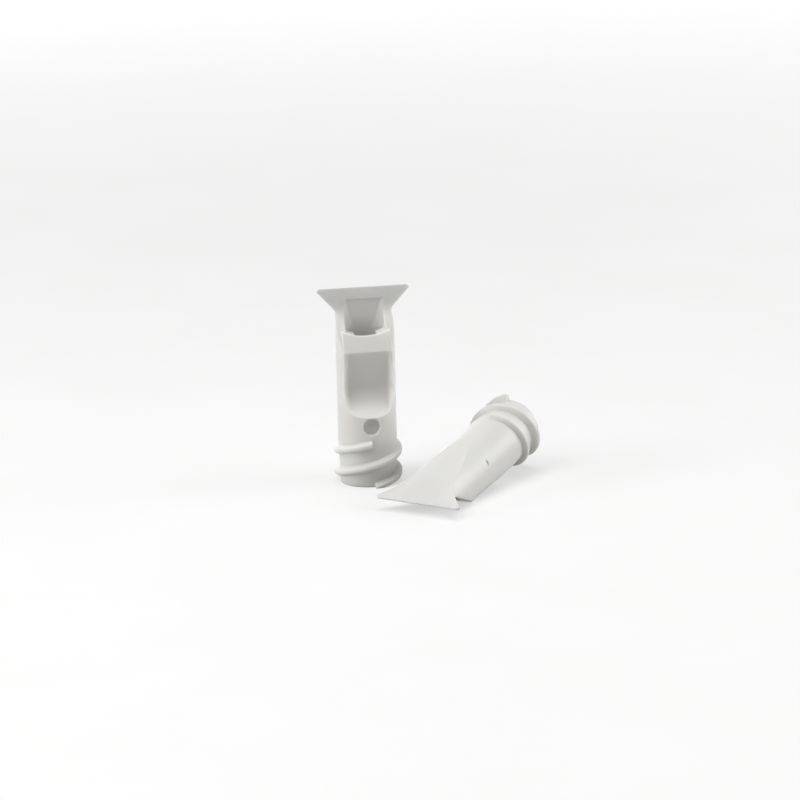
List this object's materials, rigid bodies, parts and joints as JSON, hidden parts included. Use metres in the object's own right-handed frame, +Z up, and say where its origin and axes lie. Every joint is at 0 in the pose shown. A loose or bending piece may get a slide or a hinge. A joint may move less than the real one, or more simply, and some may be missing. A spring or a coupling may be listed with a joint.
{
  "type": "wall anchor",
  "caption": "Hollow plastic wall anchors, standing and lying, each a tube with a coarse thread, a blind side hole, a thumb scoop and a fan-shaped blade over a screw ramp.",
  "frame": {"origin": "middle of the standing anchor's mouth, on the ground plane", "axes": "+Z up along the standing anchor's tube, towards its blade; -Y is its front, with the hole and the scoop; the second anchor lies on its +X side"},
  "size_m": [0.0449, 0.0404, 0.0402],
  "materials": {
    "standing_plastic": "satin",
    "lying_plastic": "satin"
  },
  "bodies": {
    "standing": {"standing_anchor": "standing_plastic"},
    "lying": {"lying_anchor": "lying_plastic"}
  },
  "joints": [
    {"name": "lying_anchor_lift", "type": "slide", "parent": "standing", "child": "lying", "axis": [0, 0, 1], "range_m": [0, 0.05]}
  ]
}
